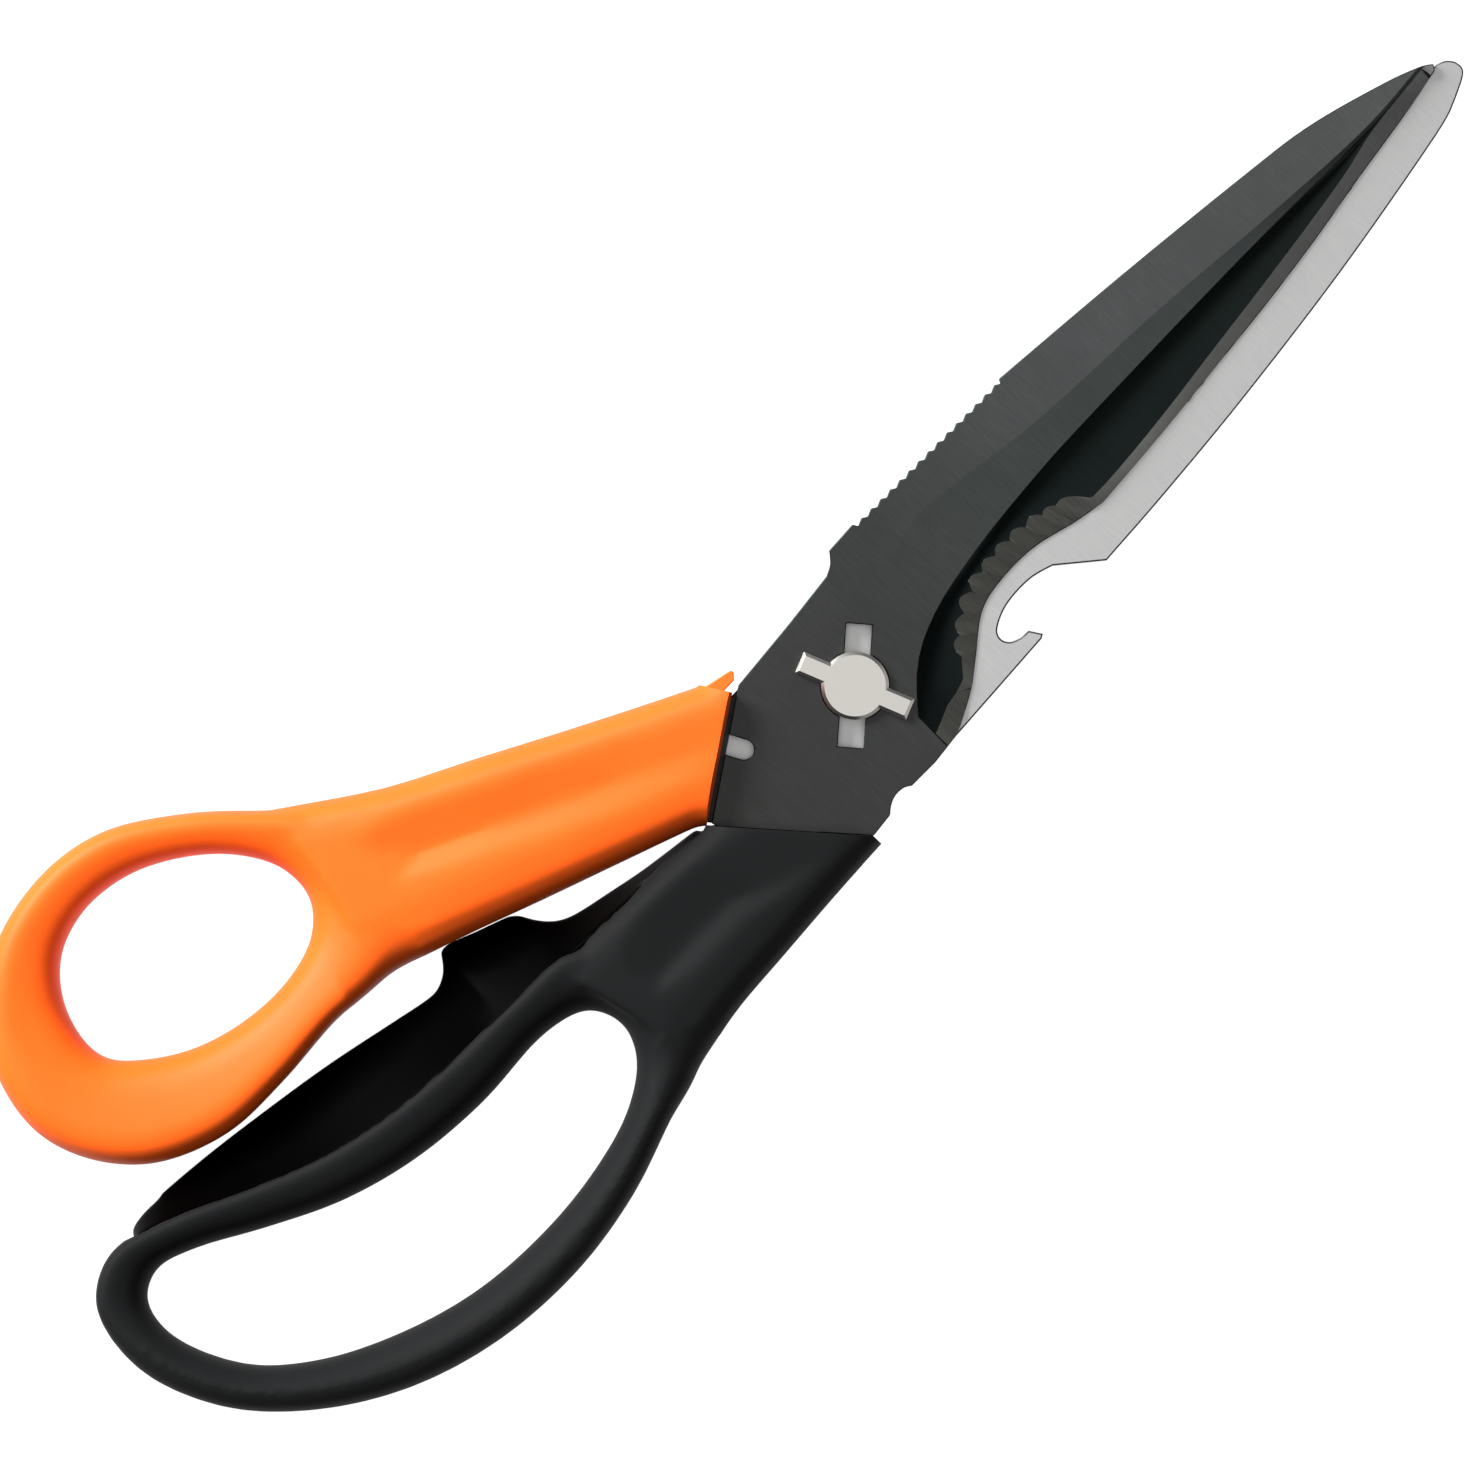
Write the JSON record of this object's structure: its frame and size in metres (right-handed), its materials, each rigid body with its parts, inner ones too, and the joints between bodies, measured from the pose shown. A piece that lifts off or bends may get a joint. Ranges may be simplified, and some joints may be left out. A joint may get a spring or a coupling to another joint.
{
  "type": "multi-purpose scissors",
  "caption": "Take-apart multi-purpose scissors with a coated notched blade, a bottle-opener blade, a winged pivot stud and looped thumb and finger handles.",
  "frame": {"origin": "on the pivot axis, on the flat back of the pivot stud's rivet head, with the blades closed", "axes": "+X from the pivot to the blade tips, +Y to the thumb side, +Z to the front that carries the wings"},
  "size_m": [0.2299, 0.0819, 0.0145],
  "materials": {
    "coated_steel": "thin dark grey low-friction coat on ground steel, satin",
    "ground_steel": "bare stainless steel, fine cross-ground grain",
    "pivot_steel": "bare turned steel, satin",
    "orange_core": "hard moulded plastic, smooth",
    "orange_grip": "soft-touch elastomer, satin",
    "black_core": "hard moulded plastic, glossy",
    "black_grip": "soft-touch elastomer, satin"
  },
  "bodies": {
    "thumb_half": {"opener_blade": "ground_steel", "pivot_stud": "pivot_steel", "pivot_washer": "pivot_steel", "thumb_handle_core": "orange_core", "thumb_handle_grip": "orange_grip"},
    "finger_half": {"cutting_blade": "coated_steel", "finger_handle_core": "black_core", "finger_handle_grip": "black_grip"}
  },
  "joints": [
    {"name": "blade_pivot", "type": "hinge", "parent": "thumb_half", "child": "finger_half", "pos_m": [0, 0, 0.00476], "axis": [0, 0, 1], "range_deg": [0, 71]}
  ]
}
